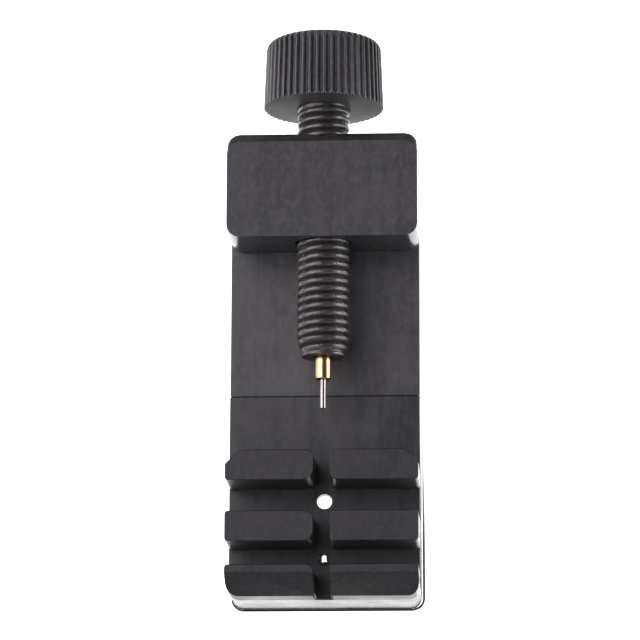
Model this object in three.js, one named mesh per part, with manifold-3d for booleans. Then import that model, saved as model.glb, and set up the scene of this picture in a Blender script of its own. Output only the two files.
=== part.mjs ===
// Watch link remover: a hand tool that pushes the pins out of a watch bracelet.
// The bracelet lies across the bed, against the first row of fences, and a knob drives
// a threaded screw whose steel pin pushes the link pin out through the slot between the fences.
// The two channels between the fence rows hold a bracelet on edge over a drop hole.
// Lengths are in millimetres. X is the width, Y runs along the screw towards the knob, Z is up.
// The pieces are drawn with Y = 0 at the joint face between frame and strap holder, and the
// finished group is shifted so that its origin is the centre of the footprint, on the table.

import * as THREE from "three";
import { mergeVertices } from "three/addons/utils/BufferGeometryUtils.js";
import Module from "manifold-3d";

// Body plan
const halfWidth = 14.17;
const frameLength = 38;
const plateHeight = 8.85;
const sideWall = 2;
const endWall = 2;
const plateThickness = 2.2;
const jointCornerRadius = 0.25;
const plateFillet = 0.12;
const cavityCornerRadius = 0.6;

// Ribs below the frame plate
const ribThickness = 1.4;
const ribOffset = 4.3;
const crossRibCount = 3;

// Head that carries the screw
const headLength = 15.95;
const headAboveAxis = 5;
const headCornerRadius = 1.9;
const headFillet = 0.15;
const headBevelLength = 1.4;
const headBevelDrop = 1.2;
const screwAxisHeight = 14.4;
const boreMouthChamfer = 0.2;

// Tongue of the frame, inside the strap holder
const tongueLength = 12.85;
const tongueFloor = 1;
const tongueThickness = 1.6;
const guideHeight = 6;
const guideThickness = 1.4;
const innerCornerRadius = 0.3;

// Strap holder
const holderLength = 30.75;
const holderHeight = 9.5;
const holderPlate = 1.8;
const holderWall = 2;
const holderCornerRadius = 1.6;
const jointGap = 0.15;
const slideClearance = 0.3;
const holderRibDepth = 4.2;
const ribSetback = 1.2;

// Fences on the strap holder, set out from its far end
const fenceRise = 8.6;
const rowOneWidth = 4.5;
const channelOneWidth = 4.55;
const rowTwoWidth = 4.48;
const channelTwoWidth = 3.42;
const rowThreeWidth = 4.05;
const rowThreeFlat = 1.16;
const rowThreeEndDrop = 4.5;
const slotHalfWidth = 1;
const slotDraft = 0.3;
const fenceFillet = 0.15;
const fenceCornerRadius = 0.5;
const fenceChamfer = 2.1;
const roundedInnerRadius = 1.5;
const farCornerShare = 0.7;
const bowedInnerRadius = 0.9;
const squaredInnerRadius = 0.45;

// Drop holes in the two channels
const dropHoleOneRadius = 1.12;
const dropHoleTwoRadius = 0.8;
const dropHoleOneInset = 1.8;
const dropHoleTwoInset = 1.42;
const dropHoleLead = 0.12;

// Lead screw
const screwRadius = 3.92;
const screwClearance = 0.18;
const screwFrontY = 4.75;
const screwTaperLength = 2.4;
const screwEndRadius = 3.05;
const screwTailRadius = 3.1;
const screwTailLength = 7;

// Thread of the lead screw, with the helices of one turn as shares of its pitch and depth
const threadPitch = 1.25;
const threadDepth = 0.72;
const threadShares = [
  [0, 1],
  [0.38, 0],
  [0.62, 0],
];

// Knob
const knobRadius = 9;
const knobFarRadius = 8.6;
const knobLength = 10.25;
const knobStandOff = 4.9;
const knobRimRadius = 1.3;
const fluteCount = 50;
const fluteDepth = 0.38;
const fluteShares = [
  [0, 0],
  [0.42, 0],
  [0.58, 1],
  [0.84, 1],
];
const knobCounterbore = 1;
const pressGap = 0.3;

// Pin collar and push pin
const collarRadius = 1.2;
const collarLength = 8.4;
const collarReach = 3.4;
const collarGap = 0.25;
const collarChamfer = 0.12;
const pinRadius = 0.45;
const pinLength = 8.2;
const pinReach = 4.4;
const pinGap = 0.2;
const pinChamfer = 0.06;

// Height screw below the strap holder
const heightScrewInset = 5.45;
const heightScrewRadius = 2.5;
const heightScrewTop = 8.3;
const heightScrewClearance = 0.2;
const flangeRadius = 3.8;
const flangeThickness = 1.1;
const stubRadius = 2.2;
const stubBottom = 0.5;
const driveSlotWidth = 0.9;
const driveSlotDepth = 1;
const bossWall = 1.6;
const bossGap = 0.3;
const screwTipGap = 0.3;

// Facets
const roundSegments = 32;
const threadSegments = 24;
const cornerSegments = 4;
const roundCorners = [cornerSegments, cornerSegments, cornerSegments, cornerSegments];
const filletSteps = 3;

// How far a cut runs past the face that it leaves by, and how deep a joined piece is rooted
const overrun = 1;
const root = 0.6;

const wasm = await Module();
wasm.setup();

// A closed geometry as a solid that can be joined and cut.
function solid(geometry) {
  const bare = geometry.clone();
  bare.deleteAttribute("normal");
  bare.deleteAttribute("uv");
  const merged = mergeVertices(bare);
  const mesh = new wasm.Mesh({
    numProp: 3,
    vertProperties: merged.attributes.position.array,
    triVerts: new Uint32Array(merged.index.array),
  });
  return new wasm.Manifold(mesh);
}

// A finished solid as a named mesh.
function namedMesh(name, body, material) {
  const { vertProperties, triVerts } = body.getMesh();
  const geometry = new THREE.BufferGeometry();
  geometry.setAttribute("position", new THREE.BufferAttribute(vertProperties, 3));
  geometry.setIndex(new THREE.BufferAttribute(triVerts, 1));
  geometry.computeVertexNormals();
  const mesh = new THREE.Mesh(geometry, material);
  mesh.name = name;
  return mesh;
}

// The outline of a rectangle seen from above, counter-clockwise from its low corner.
// corners lists a radius for each corner in that order; segments of 1 makes a straight chamfer.
function outline([x0, x1], [y0, y1], corners, segments = roundCorners) {
  const centres = [
    [x0, y0, 1, 1],
    [x1, y0, -1, 1],
    [x1, y1, -1, -1],
    [x0, y1, 1, -1],
  ];
  return centres.flatMap(([x, y, towardsX, towardsY], corner) => {
    const radius = corners[corner];
    const centre = new THREE.Vector2(x + towardsX * radius, y + towardsY * radius);
    const start = Math.PI + (corner * Math.PI) / 2;
    return Array.from({ length: segments[corner] + 1 }, (_, step) => {
      const angle = start + (step / segments[corner]) * (Math.PI / 2);
      return new THREE.Vector2(Math.cos(angle), Math.sin(angle)).multiplyScalar(radius).add(centre);
    });
  });
}

// A closed solid through a stack of outlines, each with its own height and as many points.
function loft(layers) {
  const count = layers[0].points.length;
  const positions = layers.flatMap(({ points, z }) => points.flatMap((point) => [point.x, point.y, z]));
  const indices = [];
  for (let layer = 0; layer + 1 < layers.length; layer++) {
    for (let i = 0; i < count; i++) {
      const next = (i + 1) % count;
      const low = layer * count;
      const high = low + count;
      indices.push(low + i, low + next, high + next, low + i, high + next, high + i);
    }
  }
  const last = (layers.length - 1) * count;
  for (const [a, b, c] of THREE.ShapeUtils.triangulateShape(layers[0].points, [])) {
    indices.push(a, c, b);
  }
  for (const [a, b, c] of THREE.ShapeUtils.triangulateShape(layers.at(-1).points, [])) {
    indices.push(last + a, last + b, last + c);
  }
  const geometry = new THREE.BufferGeometry();
  geometry.setAttribute("position", new THREE.Float32BufferAttribute(positions, 3));
  geometry.setIndex(indices);
  return solid(geometry);
}

// An upright block with a filleted top edge; draft moves the low and high X edges with height.
function block([x0, x1], [y0, y1], [bottom, top], corners, { fillet = 0, segments, draft = [0, 0] } = {}) {
  const layer = (z, inset) => {
    const climb = (z - bottom) / (top - bottom);
    const xs = [x0 + draft[0] * climb + inset, x1 + draft[1] * climb - inset];
    const radii = corners.map((radius) => Math.max(radius - inset, radius / 2));
    return { points: outline(xs, [y0 + inset, y1 - inset], radii, segments), z };
  };
  const layers = [layer(bottom, 0)];
  if (fillet > 0) {
    for (let step = 0; step <= filletSteps; step++) {
      const angle = (step / filletSteps) * (Math.PI / 2);
      layers.push(layer(top - fillet + fillet * Math.sin(angle), fillet * (1 - Math.cos(angle))));
    }
  } else {
    layers.push(layer(top, 0));
  }
  return loft(layers);
}

// A plain block with one corner radius all round.
function roundedBlock(xs, ys, zs, radius, options) {
  return block(xs, ys, zs, [radius, radius, radius, radius], options);
}

// A turned solid about the screw axis, from a profile of [radius, y] points.
function turnedOnScrewAxis(profile, segments = roundSegments) {
  const points = profile.map(([radius, y]) => new THREE.Vector2(radius, y));
  return solid(new THREE.LatheGeometry(points, segments)).translate([0, 0, screwAxisHeight]);
}

// A turned solid about an upright axis at y, from a profile of [radius, z] points.
function turnedUpright(profile, y, segments = roundSegments) {
  const points = profile.map(([radius, z]) => new THREE.Vector2(radius, z));
  return solid(new THREE.LatheGeometry(points, segments)).rotate([90, 0, 0]).translate([0, y, 0]);
}

// Places that more than one piece is built to
const headFrontY = frameLength - headLength;
const holderFrontY = -jointGap;
const cavityHalfWidth = halfWidth - holderWall;
const tongueHalfWidth = cavityHalfWidth - slideClearance;
const heightScrewY = -heightScrewInset;
const headTop = screwAxisHeight + headAboveAxis;
const knobNearY = frameLength + knobStandOff;
const knobFarY = knobNearY + knobLength;
const fenceTop = holderHeight + fenceRise;
const rowThree = [-holderLength, rowThreeWidth - holderLength];
const rowTwo = [rowThree[1] + channelTwoWidth, rowThree[1] + channelTwoWidth + rowTwoWidth];
const rowOne = [rowTwo[1] + channelOneWidth, rowTwo[1] + channelOneWidth + rowOneWidth];

// The frame: a bed plate with side walls, the head with its screw bore, and the tongue.
function makeFrame(material) {
  const corners = [jointCornerRadius, jointCornerRadius, headCornerRadius, headCornerRadius];
  const body = block([-halfWidth, halfWidth], [0, frameLength], [0, plateHeight], corners, {
    fillet: plateFillet,
  });
  let frame = body.add(makeHead()).subtract(makeFrameCavity());
  frame = frame.add(makeTongue());
  return namedMesh("frame", frame.subtract(makeScrewBore()), material);
}

// The head block: upright sides, a filleted top and a bevel along its back edge.
function makeHead() {
  const layer = (z, inset, bevel) => {
    const radius = headCornerRadius - inset;
    const xs = [inset - halfWidth, halfWidth - inset];
    const ys = [headFrontY + inset, frameLength - bevel];
    return { points: outline(xs, ys, [radius, radius, radius, radius]), z };
  };
  const layers = [layer(plateHeight - root, 0, 0), layer(headTop - headBevelDrop, 0, 0)];
  for (let step = 0; step <= filletSteps; step++) {
    const angle = (step / filletSteps) * (Math.PI / 2);
    const below = headFillet * (1 - Math.sin(angle));
    const bevel = headBevelLength * (1 - below / headBevelDrop);
    layers.push(layer(headTop - below, headFillet * (1 - Math.cos(angle)), bevel));
  }
  return loft(layers);
}

// The hollow underside, as the cells that the long ribs and cross ribs leave between them.
function makeFrameCavity() {
  const insideHalf = halfWidth - sideWall;
  const insideTop = plateHeight - plateThickness;
  const outerCells = ribOffset + ribThickness / 2;
  const innerCell = ribOffset - ribThickness / 2;
  const columns = [
    [-insideHalf, -outerCells],
    [-innerCell, innerCell],
    [outerCells, insideHalf],
  ];
  const cellCount = crossRibCount + 1;
  const insideLength = frameLength - 2 * endWall;
  const cellLength = (insideLength - crossRibCount * ribThickness) / cellCount;
  const cells = columns.flatMap((xs) =>
    Array.from({ length: cellCount }, (_, index) => {
      const y0 = endWall + index * (cellLength + ribThickness);
      return roundedBlock(xs, [y0, y0 + cellLength], [-overrun, insideTop], cavityCornerRadius);
    }),
  );
  return wasm.Manifold.union(cells);
}

// The tongue that the strap holder rides on: a floor with an upright guide along each side.
function makeTongue() {
  const ys = [-tongueLength, root];
  const floor = roundedBlock(
    [-tongueHalfWidth, tongueHalfWidth],
    ys,
    [tongueFloor, tongueFloor + tongueThickness],
    innerCornerRadius,
  );
  const guides = [-1, 1].map((side) => {
    const xs = [side * tongueHalfWidth, side * (tongueHalfWidth - guideThickness)].sort((a, b) => a - b);
    return roundedBlock(xs, ys, [0, guideHeight], innerCornerRadius);
  });
  const stubHole = turnedUpright(
    cylinderProfile(stubRadius + heightScrewClearance, tongueFloor - overrun, flangeBottom()),
    heightScrewY,
  );
  return wasm.Manifold.union([floor, ...guides]).subtract(stubHole);
}

// The bore of the head, with a chamfer at each mouth.
function makeScrewBore() {
  const radius = screwRadius + screwClearance;
  const mouth = radius + boreMouthChamfer;
  return turnedOnScrewAxis([
    [0, headFrontY - overrun],
    [mouth, headFrontY - overrun],
    [mouth, headFrontY],
    [radius, headFrontY + boreMouthChamfer],
    [radius, frameLength - boreMouthChamfer],
    [mouth, frameLength],
    [mouth, frameLength + overrun],
    [0, frameLength + overrun],
  ]);
}

// The profile of a plain cylinder.
function cylinderProfile(radius, from, to) {
  return [
    [0, from],
    [radius, from],
    [radius, to],
    [0, to],
  ];
}

// The strap holder: a capped shell over the tongue, with the fences on top.
function makeStrapHolder(material) {
  const corners = [holderCornerRadius, holderCornerRadius, jointCornerRadius, jointCornerRadius];
  const body = block([-halfWidth, halfWidth], [-holderLength, holderFrontY], [0, holderHeight], corners, {
    fillet: plateFillet,
  });
  const cavity = roundedBlock(
    [-cavityHalfWidth, cavityHalfWidth],
    [holderWall - holderLength, overrun],
    [-overrun, holderHeight - holderPlate],
    cavityCornerRadius,
  );
  const shell = body.subtract(cavity).add(makeHolderRibs()).add(makeScrewBoss());
  const dressed = shell.add(wasm.Manifold.union(makeFences()));
  return namedMesh("strap_holder", dressed.subtract(makeHolderHoles()), material);
}

// Two long ribs under the holder's plate, which stop short of the tongue's floor.
function makeHolderRibs() {
  const underside = holderHeight - holderPlate;
  const ribs = [-ribOffset, ribOffset].flatMap((x) => {
    const xs = [x - ribThickness / 2, x + ribThickness / 2];
    const clearOfTongue = tongueFloor + tongueThickness + flangeThickness + 2 * bossGap;
    const rootedY = holderWall - holderLength - root;
    const behind = [rootedY, -tongueLength - ribSetback];
    const above = [rootedY, holderFrontY - ribSetback];
    return [
      roundedBlock(xs, behind, [underside - holderRibDepth, underside + root], innerCornerRadius),
      roundedBlock(xs, above, [clearOfTongue, underside + root], innerCornerRadius),
    ];
  });
  return wasm.Manifold.union(ribs);
}

// The underside of the height screw's flange, which runs on the tongue's floor.
function flangeBottom() {
  return tongueFloor + tongueThickness + bossGap;
}

// The boss that the height screw threads into.
function makeScrewBoss() {
  const radius = heightScrewRadius + heightScrewClearance + bossWall;
  const bottom = flangeBottom() + flangeThickness + bossGap;
  return turnedUpright(cylinderProfile(radius, bottom, holderHeight - holderPlate + root), heightScrewY);
}

// The blind bore of the boss and the two drop holes.
function makeHolderHoles() {
  const blindBore = turnedUpright(
    cylinderProfile(heightScrewRadius + heightScrewClearance, 0, heightScrewTop + screwTipGap),
    heightScrewY,
  );
  const drop = (radius, y) =>
    turnedUpright(
      [
        [0, 0],
        [radius, 0],
        [radius, holderHeight - dropHoleLead],
        [radius + dropHoleLead + overrun, holderHeight + overrun],
        [0, holderHeight + overrun],
      ],
      y,
    );
  return wasm.Manifold.union([
    blindBore,
    drop(dropHoleOneRadius, rowOne[0] - dropHoleOneInset),
    drop(dropHoleTwoRadius, rowTwo[0] - dropHoleTwoInset),
  ]);
}

// The fence blocks: one to each side of the slot in every row, the last row sloped to its end.
function makeFences() {
  const soft = fenceCornerRadius;
  const roundedFarRadius = roundedInnerRadius * farCornerShare;
  const rounded = [roundedInnerRadius, roundedFarRadius];
  const halfRounded = [squaredInnerRadius, roundedFarRadius];
  const bowed = [bowedInnerRadius, bowedInnerRadius];
  const squared = [squaredInnerRadius, squaredInnerRadius];
  const rowOneBlocks = makeFenceRow(rowOne, [soft, fenceChamfer], [rounded, bowed], true);
  const rowTwoBlocks = makeFenceRow(rowTwo, [soft, soft], [rounded, squared], false);
  const rowThreeOuter = [holderCornerRadius, soft];
  const rowThreeBlocks = makeFenceRow(rowThree, rowThreeOuter, [halfRounded, squared], false);
  const slope = makeEndSlope();
  return [...rowOneBlocks, ...rowTwoBlocks, ...rowThreeBlocks.map((fence) => fence.subtract(slope))];
}

// The two blocks of one row; inner gives the corners at the slot for the left and the right one.
function makeFenceRow(ys, outer, inner, chamfered) {
  return [makeFence(-1, ys, outer, inner[0], chamfered), makeFence(1, ys, outer, inner[1], chamfered)];
}

// One fence block. Its inner end leans back from the slot, and outer and inner list the radii
// of its low and high Y corners.
function makeFence(side, ys, outer, inner, chamfered) {
  const chamferSegments = chamfered ? 1 : cornerSegments;
  const zs = [holderHeight - root, fenceTop];
  if (side < 0) {
    return block([-halfWidth, -slotHalfWidth], ys, zs, [outer[0], inner[0], inner[1], outer[1]], {
      fillet: fenceFillet,
      segments: [cornerSegments, cornerSegments, cornerSegments, chamferSegments],
      draft: [0, -slotDraft],
    });
  }
  return block([slotHalfWidth, halfWidth], ys, zs, [inner[0], outer[0], outer[1], inner[1]], {
    fillet: fenceFillet,
    segments: [cornerSegments, cornerSegments, chamferSegments, cornerSegments],
    draft: [slotDraft, 0],
  });
}

// The wedge that slopes the tops of the last row down to the end of the holder.
function makeEndSlope() {
  const kneeY = rowThree[1] - rowThreeFlat;
  const fall = rowThreeEndDrop / (kneeY - rowThree[0]);
  const farY = rowThree[0] - overrun;
  const wedge = new THREE.Shape([
    new THREE.Vector2(kneeY, fenceTop),
    new THREE.Vector2(kneeY, fenceTop + overrun),
    new THREE.Vector2(farY, fenceTop + overrun),
    new THREE.Vector2(farY, fenceTop - fall * (kneeY - farY)),
  ]);
  const width = 2 * (halfWidth + overrun);
  const geometry = new THREE.ExtrudeGeometry(wedge, { depth: width, bevelEnabled: false });
  geometry.rotateX(Math.PI / 2);
  geometry.rotateZ(Math.PI / 2);
  return solid(geometry).translate([-width / 2, 0, 0]);
}

// The lead screw: a threaded rod with a tapered front end and the collar's bore, and the
// plain tail that the knob is pressed on.
function makeLeadScrew(material) {
  const threadEndY = knobNearY + knobCounterbore - pressGap;
  const tailEndY = threadEndY + screwTailLength;
  const boreEndY = screwFrontY + collarLength - collarReach + collarGap;
  const taper = (screwRadius - screwEndRadius) / screwTaperLength;
  const cone = turnedOnScrewAxis([
    [0, screwFrontY],
    [screwEndRadius, screwFrontY],
    [screwEndRadius + taper * (threadEndY - screwFrontY), threadEndY],
    [0, threadEndY],
  ]);
  const tail = turnedOnScrewAxis(cylinderProfile(screwTailRadius, threadEndY - root, tailEndY));
  const bore = turnedOnScrewAxis(
    cylinderProfile(collarRadius + collarGap, screwFrontY - overrun, boreEndY),
  );
  const body = threadedRod(screwFrontY, threadEndY).intersect(cone).add(tail).subtract(bore);
  return namedMesh("lead_screw", body, material);
}

// A rod about the screw axis with a right-hand thread, made of one helix for each point of
// threadShares, with its turns counted from the knob's face. It runs on for a turn or more
// past both ends, where its caps are ragged.
function threadedRod(from, to) {
  const perTurn = threadShares.length;
  const firstTurn = Math.floor((from - knobNearY) / threadPitch) - 1;
  const lastTurn = Math.ceil((to - knobNearY) / threadPitch) + 2;
  const turnY = (turn) => knobNearY + turn * threadPitch;
  const rows = (lastTurn - firstTurn) * perTurn;
  const positions = [];
  for (let step = 0; step < threadSegments; step++) {
    const around = step / threadSegments;
    const angle = 2 * Math.PI * around;
    for (let row = 0; row < rows; row++) {
      const [pitchShare, depthShare] = threadShares[row % perTurn];
      const reach = screwRadius - depthShare * threadDepth;
      const turn = firstTurn + Math.floor(row / perTurn) + pitchShare - around;
      positions.push(reach * Math.cos(angle), turnY(turn), reach * Math.sin(angle));
    }
  }
  const at = (step, row) => (step < threadSegments ? step * rows + row : row - perTurn);
  const indices = [];
  for (let step = 0; step < threadSegments; step++) {
    const lowest = step + 1 < threadSegments ? 0 : perTurn;
    for (let row = lowest; row + 1 < rows; row++) {
      indices.push(at(step, row), at(step, row + 1), at(step + 1, row + 1));
      indices.push(at(step, row), at(step + 1, row + 1), at(step + 1, row));
    }
  }
  const turnAt = (row) => Array.from({ length: threadSegments }, (_, step) => at(step, row));
  const seam = (step, row) => Array.from({ length: perTurn }, (_, rise) => at(step, row + rise));
  const lowRim = [...turnAt(0), ...seam(threadSegments - 1, 1)];
  const highRim = [...turnAt(rows - 1), ...seam(0, rows - 1 - perTurn)];
  const lowCentre = threadSegments * rows;
  const highCentre = lowCentre + 1;
  positions.push(0, turnY(firstTurn - 1), 0);
  positions.push(0, turnY(lastTurn), 0);
  lowRim.forEach((point, i) => indices.push(lowCentre, point, lowRim[(i + 1) % lowRim.length]));
  highRim.forEach((point, i) => indices.push(highCentre, highRim[(i + 1) % highRim.length], point));
  const geometry = new THREE.BufferGeometry();
  geometry.setAttribute("position", new THREE.Float32BufferAttribute(positions, 3));
  geometry.setIndex(indices);
  return solid(geometry).translate([0, 0, screwAxisHeight]);
}

// The knob: a fluted grip with a rounded far rim and a stepped blind bore.
function makeKnob(material) {
  const layer = (distance, radius) => ({ points: fluteOutline(radius), z: distance });
  const radiusAt = (distance) => knobRadius + ((knobFarRadius - knobRadius) * distance) / knobLength;
  const rimStart = knobLength - knobRimRadius;
  const layers = [layer(0, knobRadius)];
  for (let step = 0; step <= filletSteps; step++) {
    const angle = (step / filletSteps) * (Math.PI / 2);
    const distance = rimStart + knobRimRadius * Math.sin(angle);
    layers.push(layer(distance, radiusAt(distance) - knobRimRadius * (1 - Math.cos(angle))));
  }
  const grip = loft(layers).rotate([-90, 0, 0]).translate([0, knobNearY, screwAxisHeight]);
  const tailEndY = knobNearY + knobCounterbore - pressGap + screwTailLength;
  const mouthRadius = screwRadius + pressGap;
  const boreRadius = screwTailRadius + pressGap;
  const bore = turnedOnScrewAxis([
    [0, knobNearY - overrun],
    [mouthRadius, knobNearY - overrun],
    [mouthRadius, knobNearY + knobCounterbore],
    [boreRadius, knobNearY + knobCounterbore],
    [boreRadius, tailEndY + pressGap],
    [0, tailEndY + pressGap],
  ]);
  return namedMesh("knob", grip.subtract(bore), material);
}

// The fluted outline of the knob: a ridge and a groove, each with a flat, for every flute.
function fluteOutline(radius) {
  const turn = (2 * Math.PI) / fluteCount;
  return Array.from({ length: fluteCount }, (_, flute) =>
    fluteShares.map(([angleShare, depthShare]) => {
      const angle = (flute + angleShare) * turn;
      const reach = radius - depthShare * fluteDepth;
      return new THREE.Vector2(reach * Math.cos(angle), reach * Math.sin(angle));
    }),
  ).flat();
}

// The brass collar that holds the push pin in the end of the screw.
function makePinCollar(material) {
  const frontY = screwFrontY - collarReach;
  const backY = frontY + collarLength;
  const innerRadius = pinRadius + pinGap;
  const body = turnedOnScrewAxis([
    [innerRadius, frontY],
    [collarRadius - collarChamfer, frontY],
    [collarRadius, frontY + collarChamfer],
    [collarRadius, backY],
    [innerRadius, backY],
    [innerRadius, frontY],
  ]);
  return namedMesh("pin_collar", body, material);
}

// The steel push pin, square-ended with a fine chamfer.
function makePushPin(material) {
  const tipY = screwFrontY - collarReach - pinReach;
  const body = turnedOnScrewAxis(
    [
      [0, tipY],
      [pinRadius - pinChamfer, tipY],
      [pinRadius, tipY + pinChamfer],
      [pinRadius, tipY + pinLength],
      [0, tipY + pinLength],
    ],
    roundSegments / 2,
  );
  return namedMesh("push_pin", body, material);
}

// The height screw: a slotted stub through the tongue, a flange on it, and the thread's envelope.
function makeHeightScrew(material) {
  const flangeTop = flangeBottom() + flangeThickness;
  const body = turnedUpright(
    [
      [0, stubBottom],
      [stubRadius, stubBottom],
      [stubRadius, flangeBottom()],
      [flangeRadius, flangeBottom()],
      [flangeRadius, flangeTop],
      [heightScrewRadius, flangeTop],
      [heightScrewRadius, heightScrewTop],
      [0, heightScrewTop],
    ],
    heightScrewY,
  );
  const slotLength = stubRadius + overrun;
  const slot = solid(
    new THREE.BoxGeometry(2 * slotLength, driveSlotWidth, 2 * driveSlotDepth).translate(
      0,
      heightScrewY,
      stubBottom,
    ),
  );
  return namedMesh("height_screw", body.subtract(slot), material);
}

// Finishes
const plastic = { color: 0x26262a, roughness: 0.45, metalness: 0 };
const frameFinish = new THREE.MeshStandardMaterial({ name: "frame_plastic", ...plastic });
const holderFinish = new THREE.MeshStandardMaterial({ name: "holder_plastic", ...plastic });
const knobFinish = new THREE.MeshStandardMaterial({ name: "knob_plastic", ...plastic, color: 0x222226 });
const screwFinish = new THREE.MeshStandardMaterial({
  name: "screw_plastic",
  color: 0x24231f,
  roughness: 0.3,
  metalness: 0,
});
const metal = { roughness: 0.2, metalness: 1 };
const brass = new THREE.MeshStandardMaterial({ name: "brass", ...metal, color: 0xc9a14a });
const steel = new THREE.MeshStandardMaterial({ name: "steel", ...metal, color: 0xc8c8cc });
for (const finish of [frameFinish, holderFinish, knobFinish, screwFinish, brass, steel]) {
  finish.flatShading = true;
}

// The tool: the spindle and the push pin travel together, and the holder climbs on its screw.
const tool = new THREE.Group();
tool.name = "watch_link_remover";
const spindle = new THREE.Group();
spindle.add(makeLeadScrew(screwFinish), makeKnob(knobFinish), makePinCollar(brass));
const platform = new THREE.Group();
platform.add(makeStrapHolder(holderFinish), makeHeightScrew(holderFinish));
tool.add(makeFrame(frameFinish), spindle, makePushPin(steel), platform);
tool.position.y = (holderLength - knobFarY) / 2;

const part = new THREE.Group();
part.add(tool);

export default part;
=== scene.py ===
"""Watch link remover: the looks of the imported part.

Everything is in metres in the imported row's frame: X is the width, Y runs along the screw
towards the knob and Z is up from the table. Sizes of details are named in millimetres and
turned into metres by MM. Places come from the boxes of the CAD nodes.
"""

import math
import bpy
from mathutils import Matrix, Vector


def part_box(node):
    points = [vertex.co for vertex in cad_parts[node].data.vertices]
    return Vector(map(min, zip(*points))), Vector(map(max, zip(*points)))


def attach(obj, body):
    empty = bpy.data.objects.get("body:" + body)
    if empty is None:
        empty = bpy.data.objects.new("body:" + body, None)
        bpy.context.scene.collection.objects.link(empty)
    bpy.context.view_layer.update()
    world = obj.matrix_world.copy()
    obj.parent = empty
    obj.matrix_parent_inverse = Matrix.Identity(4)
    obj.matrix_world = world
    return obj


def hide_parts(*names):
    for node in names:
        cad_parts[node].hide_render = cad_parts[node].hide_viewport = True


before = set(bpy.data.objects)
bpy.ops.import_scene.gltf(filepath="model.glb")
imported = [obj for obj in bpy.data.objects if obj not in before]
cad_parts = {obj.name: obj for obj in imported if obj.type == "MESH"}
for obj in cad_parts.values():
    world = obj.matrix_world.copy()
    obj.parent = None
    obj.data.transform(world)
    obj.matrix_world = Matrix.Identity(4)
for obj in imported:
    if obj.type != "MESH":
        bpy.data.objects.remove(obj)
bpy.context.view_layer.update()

from types import SimpleNamespace

import bmesh
import bpy
from mathutils import Matrix, Vector

MM = 0.001

# Noise on the surfaces: how often it changes in a millimetre of X, Y and Z, its detail, its
# roughness, and for some a shift in metres that sets it apart from the noise beside it
STREAKS = ((0.3, 0.08, 0.3), 4.0, 0.6)
SMEARS = ((0.7, 0.04, 0.7), 2.0, 0.5, (0.03, 0, 0))
CLOUD = ((0.16, 0.16, 0.16), 3.0)
MOTTLE = ((1.3, 0.8, 1.3), 4.0, 0.6, (0.02, 0.01, 0))
GRAIN = ((7, 7, 7), 2.0)
SPECKS = ((2.2, 2.2, 2.2), 4.0, 0.65)
RUBBED_PATCHES = ((0.8, 0.8, 0.8), 3.0)
GREASE_FILM = ((0.5, 0.5, 0.5), 4.0, 0.6)
GREASE_GRAIN = ((4, 4, 4), 3.0)
TARNISH = ((0.9, 0.9, 0.9), 4.0, 0.6)
TURNED_RINGS = ((0.4, 14, 0.4), 2.0)
DRAWN_LINES = ((2, 0.1, 2), 2.0)
TABLE_MOTTLE = ((0.02, 0.02, 0.02), 2.0)
NOISE_MEAN = 0.5

# Scratches: their noise, and for each direction its turn in radians and its shift in metres
SCRATCH_SCALE = (6.5, 0.22, 1.0)
SCRATCH_DETAIL = 1.0
SCRATCH_DIRECTIONS = ((0.06, 0.0), (-0.12, 0.013), (0.5, 0.029))
SCRATCH_BAND = (0.78, 0.80)
SCRATCH_SPREAD = 0.06

# Marks on the moulded plastic: the band of noise where each begins and is full, how strongly it
# covers the plastic, and its grey as a level or as a share of the plastic's own
PLASTIC_TINT = (1.0, 0.99, 1.02)
TOUCHED_BAND = (-0.25, 0.25)
TOUCHED_GREY_SHARES = (0.76, 1.24)
TOUCHED_ROUGHNESS = (-0.1, 0.11)
UPRIGHT_MARKS = 0.4
MOTTLE_BAND = (0.42, 0.66)
MOTTLE_COVER = 0.36
MOTTLE_GREY_SHARE = 1.9
SCRATCH_COVER = 0.2
SCRATCH_GREY = 0.07
SCRATCH_ROUGHNESS = 0.1
RUBBED_BAND = (0.42, 0.62)
RUBBED_COVER = 0.4
RUBBED_GREY = 0.12
SPECK_BAND = (0.70, 0.76)
SPECK_COVER = 0.25
SPECK_GREY = 0.25
# Painted shade: dark grey laid in the knob's flute bottoms, on the fences' back edges and on the head's
# front and back bevel; on the holder the same grey also draws the real mark of the mould's gate
SHADE_AND_GATE_COVER = 0.75
SHADE_AND_GATE_GREY = 0.004

# Moulded plastic: its gloss, and how far grain, cloud and scratches stand out in millimetres
PLASTIC_IOR = 1.47
PLASTIC_SHEEN = 0.5
DULL_SHEEN = 0.25
DULL_ROUGHNESS = 0.45
# Under the painted shade the sheen drops to this share
SHADE_AND_GATE_SHEEN_SHARE = 0.1
SIDE_POLISH_SHARE = 0.6
GRAIN_HEIGHT = 0.012
CLOUD_HEIGHT = 0.05
SCRATCH_HEIGHT = 0.006

# Heights over the table in millimetres where marks begin, and how far they fade in
HOLDER_PLATE = 9.5
FENCE_TOP = 17
HEAD_TOP = 18
HEIGHT_FADE = 0.1

# How strongly each place is dull, or darkened by painted shade
END_WALL_SHARE = 0.4
FENCE_TOP_SHARE = 0.45
HEAD_TOP_SHARE = 0.65
HEAD_FRONT_SHARE = 0.45
HEAD_BEVEL_SHARE = 0.6
KNOB_FACE_SHARE = 0.7

# How far a face is turned to an axis, from -1 to 1, where its mask begins and is full
UPRIGHT_TURN = (0.3, 0.1)
SIDE_TURN = (0.9, 0.98)
FRONT_TURN = (-0.8, -0.95)
SLOPE_FRONT_TURN = (-0.5, -0.75)
SLOPE_UP_TURN = (0.1, 0.3)
FENCE_TOP_TURN = (0.7, 0.9)
HEAD_TOP_TURN = (0.4, 0.55)
BEVEL_BACK_TURN = (0.1, 0.3)
BEVEL_UP_TURN = (0.1, 0.2)
EDGE_BACK_TURN = (0.12, 0.4)
EDGE_UP_TURN = (0.2, 0.5)

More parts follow.
